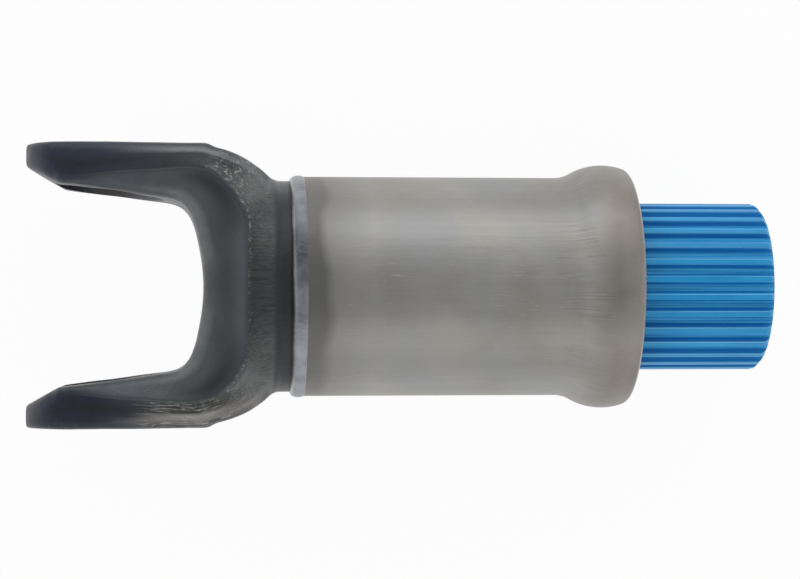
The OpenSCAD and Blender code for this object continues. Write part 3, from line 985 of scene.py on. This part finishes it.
# Nylon: blue right through and smoothest on the lands, with painted light in its colour: painted shade on the
# flanks, a painted sheen in streaks along the roots, and a painted highlight on the edges of each land, one
# of them a thin painted glint line.
blue_nylon, tree, shader = new_material("blue_nylon", 0.0, 0.34)
shader.inputs["Specular IOR Level"].default_value = 0.3
place = place_group(tree, shaft_place)
height = read_mask(tree, "tooth_rise")
draw = fine_lines(tree, 90 * MM, 1.1 * MM, 0.38, 0.62)
cloud = patches(tree, 30 * MM, 0.3, 0.7)
flank_shade_blue = blend(tree, draw, (0, 112, 180), (0, 126, 196))
root_sheen_blue = blend(tree, draw, (0, 128, 194), (70, 184, 240))
land_blue = blend(tree, cloud, (14, 140, 200), (40, 158, 218))
colour = blend(tree, spread(tree, height, 0.02, 0.12), root_sheen_blue, flank_shade_blue)
colour = lay(tree, colour, land_blue, spread(tree, height, 0.78, 0.95))
# Painted highlight near the top of each flank, along the land's edges
colour = lay(tree, colour, (140, 204, 240), band(tree, height, 0.93, 0.07), 0.6)
colour = lay(tree, colour, (16, 112, 180), draw, 0.22)
# Painted glint: a thin light line along one edge of each land
pitches = times(tree, calc(tree, "SUBTRACT", place["Turn"], tooth_turn), teeth / (2 * math.pi))
in_pitch = calc(tree, "FRACT", calc(tree, "ADD", pitches, teeth + 0.5))
glint = times(tree, band(tree, in_pitch, 0.5 + land_share / 2, 0.035), between(tree, draw, 0.85, 0.25))
colour = lay(tree, colour, (128, 204, 244), glint)
give_surface(tree, shader, colour, spread(tree, height, 0.5, 1.0, 0.55, 0.34), draw, depth=0.05 * MM)
dress(coat, blue_nylon)
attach(coat, "root")
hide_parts("spline_coating")


# Tube: drawn steel, pushed over the seat and welded on. Its mouth is belled out for the seal
# and curled in, and it keeps the faint lines of the drawing die along its length.
tube_r = 53.45 * MM
tube_wall = 2 * MM
bell_x = tube_x + 150 * MM
bell_rise = 6.25 * MM
bell_r = tube_r + bell_rise
flare_r = 17 * MM
crown_r = 29.6 * MM
bell_nose = 9.1 * MM
curl_r = 3.4 * MM
curl_end = 85
flare_angle = math.degrees(math.acos(1 - bell_rise / (flare_r + crown_r)))
mouth_bulge = 0.5
straight_n, flare_n, crown_n, curl_n, mouth_n = 8, 12, 20, 10, 6
tube_segments = 288


def bell_path(grow):
    """Outline of the bell at a distance from the middle of the wall"""
    top_r = bell_r - tube_wall / 2
    flare_x = bell_x - (flare_r + crown_r) * math.sin(math.radians(flare_angle))
    nose_a = math.asin(bell_nose / crown_r)
    nose_c = crown_r - curl_r
    return (
        arc(flare_x, tube_r - tube_wall / 2 + flare_r, flare_r - grow, 180, 180 - flare_angle, flare_n)
        + arc(bell_x, top_r - crown_r, crown_r + grow, -flare_angle, math.degrees(nose_a), crown_n)[1:]
        + arc(bell_x + nose_c * math.sin(nose_a), top_r - crown_r + nose_c * math.cos(nose_a),
              curl_r + grow, math.degrees(nose_a), curl_end, curl_n)[1:])


outer_path = bell_path(tube_wall / 2)
inner_path = bell_path(-tube_wall / 2)
straight = [(mix(tube_x, outer_path[0][0], i / straight_n), tube_r) for i in range(straight_n)]
mouth_outer, mouth_inner = np.array(outer_path[-1]), np.array(inner_path[-1])
mouth_middle = (mouth_outer + mouth_inner) / 2
mouth_side = (mouth_outer - mouth_inner) / 2
mouth_front = np.array((-mouth_side[1], mouth_side[0])) * mouth_bulge
mouth_edge = [tuple(mouth_middle + mouth_side * math.cos(a) + mouth_front * math.sin(a))
              for a in np.linspace(0, math.pi, mouth_n + 1)[1:-1]]
inner_wall = [(x, tube_r - tube_wall) for x, r in reversed(straight)]
tube = turned_piece(
    "drawn_tube", straight + outer_path + mouth_edge + inner_path[::-1] + inner_wall,
    tube_segments, closed=True)
outward(tube)
smooth_shade(tube, sharp_from=40)

# Drawn steel: satin grey with clouds of warm and cool tarnish and faint axial lines. It is dark where the
# weld's heat has run into it, browner at the bell, and bright along the cut edge of the mouth.
drawn_steel, tree, shader = new_material("drawn_steel", 0.8, 0.45)
place = place_group(tree, shaft_place)
warm_cloud = patches(tree, 50 * MM, 0.36, 0.64, 0.45)
cool_cloud = patches(tree, 30 * MM, 0.42, 0.62)
lines = fine_lines(tree, 30 * MM, 0.5 * MM, 0.4, 0.66)
long_lines = fine_lines(tree, 160 * MM, 3.5 * MM, 0.4, 0.6)
colour = blend(tree, warm_cloud, (146, 143, 138), (164, 162, 158))
colour = lay(tree, colour, (148, 152, 154), cool_cloud, 0.6)
colour = lay(tree, colour, (180, 176, 168), lines, 0.1)
colour = lay(tree, colour, (124, 122, 118), long_lines, 0.08)
wandering = calc(tree, "ADD", place["Along"], between(tree, warm_cloud, -3 * MM, 3 * MM))
on_side = spread(tree, calc(tree, "ABSOLUTE", place["Turn"]), 0.4, 1.5)
near_heat = times(tree, spread(tree, wandering, tube_x + 11 * MM, tube_x + 20 * MM, 0.85, 0.0),
                  between(tree, on_side, 1.0, 0.6))
far_heat = spread(tree, place["Along"], tube_x + 10 * MM, tube_x + 34 * MM, 0.4, 0.0)
heat = calc(tree, "MAXIMUM", near_heat, far_heat)
colour = lay(tree, colour, (82, 80, 77), heat, between(tree, warm_cloud, 0.75, 1.0))
# Painted shade: darker bands along the tube's far and near flanks
far_flank_shade, near_flank_shade = band(tree, place["Turn"], 0.78, 0.3), band(tree, place["Turn"], -0.75, 0.34)
colour = lay(tree, colour, (96, 95, 92), calc(tree, "MAXIMUM", far_flank_shade, near_flank_shade), 0.26)

# Scratches from handling lie in patches, and the drawing lines show most towards the bell
scratched = times(tree, patches(tree, 20 * MM, 0.44, 0.56),
                  spread(tree, place["Along"], tube_x + 14 * MM, tube_x + 24 * MM))
scratches = times(tree, fine_lines(tree, 6 * MM, 0.5 * MM, 0.64, 0.72), scratched)
colour = lay(tree, colour, (188, 183, 174), scratches, 0.4)
drawn = fine_lines(tree, 30 * MM, 0.5 * MM, 0.42, 0.72)
towards_bell = spread(tree, place["Along"], bell_x - 45 * MM, bell_x - 10 * MM, 0.15, 0.6)
colour = lay(tree, colour, (118, 114, 109), drawn, scratched, towards_bell)
brown = blend(tree, cool_cloud, (126, 120, 113), (144, 138, 131))
colour = lay(tree, colour, brown, spread(tree, place["Along"], bell_x - 14 * MM, bell_x - 1 * MM), 0.75)
mouth_x = float(mouth_outer[0])
cut_edge = spread(tree, place["Along"], mouth_x - 1.5 * MM, mouth_x - 0.7 * MM)
colour = lay(tree, colour, (192, 182, 174), cut_edge)
relief = calc(tree, "SUBTRACT", lines, times(tree, scratches, 3.0))
give_surface(tree, shader, colour, between(tree, warm_cloud, 0.42, 0.5), relief, depth=0.014 * MM)
dress(tube, drawn_steel)
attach(tube, "root")
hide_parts("dust_tube")


# Weld: one run of steel bead, laid round the neck and over the tube's end on a turning fixture, whose even
# pace leaves its ripples. It holds the tube on its seat for good.
bead_start = tube_x - 3.4 * MM
bead_w = 7.1 * MM
bead_h = 0.7 * MM
bead_segments = 720
bead_steps = 16
ripple_count = 112
ripple_height = 0.09 * MM
ripple_lag = 1.6
edge_wander = 0.45 * MM
wander_scale = 3
fade_shift = Vector((5, 0, 0))
bead_rings = []
for i in range(bead_segments):
    a = 2 * math.pi * i / bead_segments
    round_place = Vector((math.cos(a) * wander_scale, math.sin(a) * wander_scale, 0))
    showing = clip(0.5 + 1.4 * noise.noise(round_place * 1.3 + fade_shift))
    start = np.array((bead_start + edge_wander * noise.noise(round_place), neck_r))
    far_wander = 0.6 * edge_wander * (noise.noise(round_place * 1.7) - 0.5)
    finish = np.array((bead_start + bead_w + far_wander, tube_r))
    rising = start + np.array((bead_w / 10, tube_r - neck_r + 1.3 * bead_h))
    falling = finish + np.array((-0.3 * bead_w, 1.5 * bead_h))
    ring = []
    for j in range(bead_steps + 1):
        across = j / bead_steps
        x, r = bezier(start, rising, falling, finish, across)
        lag = ripple_lag * (2 * across - 1) ** 2
        ripple = math.cos(ripple_count * a + lag * math.pi)
        lift = ripple_height * showing * (ripple - 1) / 2 * math.sin(math.pi * across)
        ring.append((x, (r + lift) * math.sin(a), (r + lift) * math.cos(a)))
    for x, r in ((finish[0], tube_r - tube_wall / 2), (start[0], neck_r - tube_wall / 2)):
        ring.append((x, r * math.sin(a), r * math.cos(a)))
    bead_rings.append(ring)
bead = new_piece(
    "weld_run", [p for ring in bead_rings for p in ring],
    ring_faces(bead_segments, len(bead_rings[0]), closed=True))
outward(bead)
smooth_shade(bead, sharp_from=60)

# Weld metal: cool grey with soft mottling, with painted light: a painted highlight on its far side, painted
# shade across the top, and a painted highlight and glint along its toe on the neck
weld_metal, tree, shader = new_material("weld_metal", 0.9, 0.34)
place = place_group(tree, shaft_place)
cloud = patches(tree, 9 * MM)
spatter = place_group(tree, grains, Size=0.8 * MM)["Grain"]
colour = blend(tree, cloud, (122, 125, 130), (148, 151, 156))
# Painted highlight on the bead's far side
colour = lay(tree, colour, (158, 158, 158), spread(tree, place["Turn"], 1.1, 1.35, 0.0, 0.8))
# Painted shade across the top of the bead
top_shade = band(tree, place["Turn"], 0.36, 0.62)
colour = lay(tree, colour, (76, 81, 87), top_shade, between(tree, cloud, 0.95, 0.75))
# Painted highlight and a painted glint along the bead's toe on the neck
toe_highlight = spread(tree, place["Along"], bead_start, bead_start + 1.6 * MM, 1.0, 0.0)
colour = lay(tree, colour, (196, 199, 204), toe_highlight, 0.7)
toe_shine = spread(tree, place["Along"], bead_start + 0.3 * MM, bead_start + 1.1 * MM, 1.0, 0.0)
colour = lay(tree, colour, (244, 245, 247), toe_shine, band(tree, place["Turn"], 0.5, 0.55))
give_surface(tree, shader, colour, between(tree, cloud, 0.3, 0.44), spatter, depth=0.06 * MM)
dress(bead, weld_metal)
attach(bead, "root")
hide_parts("weld_bead")


# Seal: moulded rubber, pressed into the bell, with a wiping lip at its mouth and a second lip behind. It
# runs on the sleeve that slides over the spline, and keeps dust and water off the coat.
seal_len = 14 * MM
seal_h = 8.1 * MM
lip_t = 2.4 * MM
lip_h = 3.2 * MM
seal_seat_r = bell_r - tube_wall
seal_crown_r = crown_r - tube_wall / 2
seal_a = math.degrees(math.asin(seal_len / 2 / seal_crown_r))
seal_back, seal_front = bell_x - seal_len / 2, bell_x + seal_len / 2
lip_r = seal_seat_r - seal_h
seal = turned_piece("lip_seal", arc(bell_x, seal_seat_r - seal_crown_r, seal_crown_r, -seal_a, seal_a, 12) + [
    (seal_front + lip_t * 0.1, lip_r + lip_h), (seal_front + lip_t / 3, lip_r + lip_h / 2),
    (seal_front + lip_t / 2, lip_r + lip_t / 8), (seal_front + lip_t / 4, lip_r),
    (seal_front - lip_t / 4, lip_r + lip_t / 8), (seal_front - 1.2 * lip_t, lip_r + 0.7 * lip_h),
    (seal_front - 1.6 * lip_t, lip_r + lip_h), (seal_back + 1.6 * lip_t, lip_r + lip_h),
    (seal_back + 1.2 * lip_t, lip_r + 0.7 * lip_h), (seal_back + lip_t / 2, lip_r), (seal_back, lip_r)],
    round_n, closed=True)
outward(seal)
smooth_shade(seal, sharp_from=40)

# Seal rubber: black and matt, with a fine moulded grain and a trace of grease
seal_rubber, tree, shader = new_material("seal_rubber", 0.0, 0.6)
grain = place_group(tree, grains, Size=0.5 * MM)["Grain"]
cloud = patches(tree, 10 * MM)
colour = blend(tree, cloud, (26, 26, 28), (38, 38, 41))
give_surface(tree, shader, colour, between(tree, cloud, 0.5, 0.7), grain, depth=0.03 * MM)
dress(seal, seal_rubber)
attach(seal, "root")
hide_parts("dust_seal")
